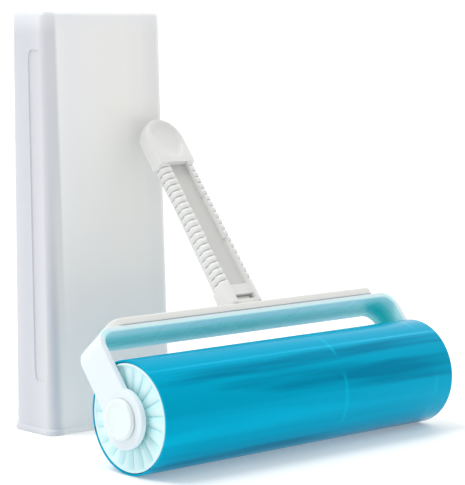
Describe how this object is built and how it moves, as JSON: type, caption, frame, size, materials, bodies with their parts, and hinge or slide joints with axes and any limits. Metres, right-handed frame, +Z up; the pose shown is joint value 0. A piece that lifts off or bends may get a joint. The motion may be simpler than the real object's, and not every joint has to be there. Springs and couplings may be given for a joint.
{
  "type": "lint roller",
  "caption": "Washable sticky lint roller on a bent yoke with a ribbed plug-on handle, with its upright translucent dust cover.",
  "frame": {"origin": "on the floor, under the middle of the whole set's bounding box", "axes": "+X along the roller's axle, +Y from the roller towards the dust cover, +Z up"},
  "size_m": [0.1926, 0.1786, 0.1985],
  "materials": {
    "sticky_sleeve": "glossy tacky blue polyurethane gel, slightly translucent",
    "core_tube": "natural white extruded plastic",
    "end_cap": "pale blue-white moulded plastic, satin, slightly translucent",
    "axle_stub": "white moulded plastic, satin",
    "yoke_frame": "white moulded plastic, semi-gloss",
    "spine_plate": "white moulded plastic, satin",
    "release_catch": "white moulded plastic, satin",
    "handle_grip": "white moulded plastic, satin",
    "dust_cover": "milky translucent polypropylene, satin"
  },
  "bodies": {
    "frame": {"yoke_frame": "yoke_frame", "spine_plate": "spine_plate", "axle_stub_left": "axle_stub", "axle_stub_right": "axle_stub"},
    "roller": {"sticky_sleeve": "sticky_sleeve", "core_tube": "core_tube", "end_cap_left": "end_cap", "end_cap_right": "end_cap"},
    "catch": {"release_catch": "release_catch"},
    "handle": {"handle_grip": "handle_grip"},
    "cover": {"dust_cover": "dust_cover"}
  },
  "joints": [
    {"name": "roller_spin", "type": "hinge", "parent": "frame", "child": "roller", "pos_m": [0, -0.0643, 0.025], "axis": [1, 0, 0], "continuous": true},
    {"name": "handle_pull", "type": "slide", "parent": "frame", "child": "handle", "axis": [0, 0.6293, 0.7771], "range_m": [0, 0.0092]},
    {"name": "catch_press", "type": "hinge", "parent": "frame", "child": "catch", "pos_m": [0, -0.035, 0.06754], "axis": [1, 0, 0], "range_deg": [0, 12], "stiffness_Nm_per_rad": 0.012},
    {"name": "cover_lift", "type": "slide", "parent": "frame", "child": "cover", "axis": [0, 0.0872, 0.9962], "range_m": [0, 0.2]}
  ]
}
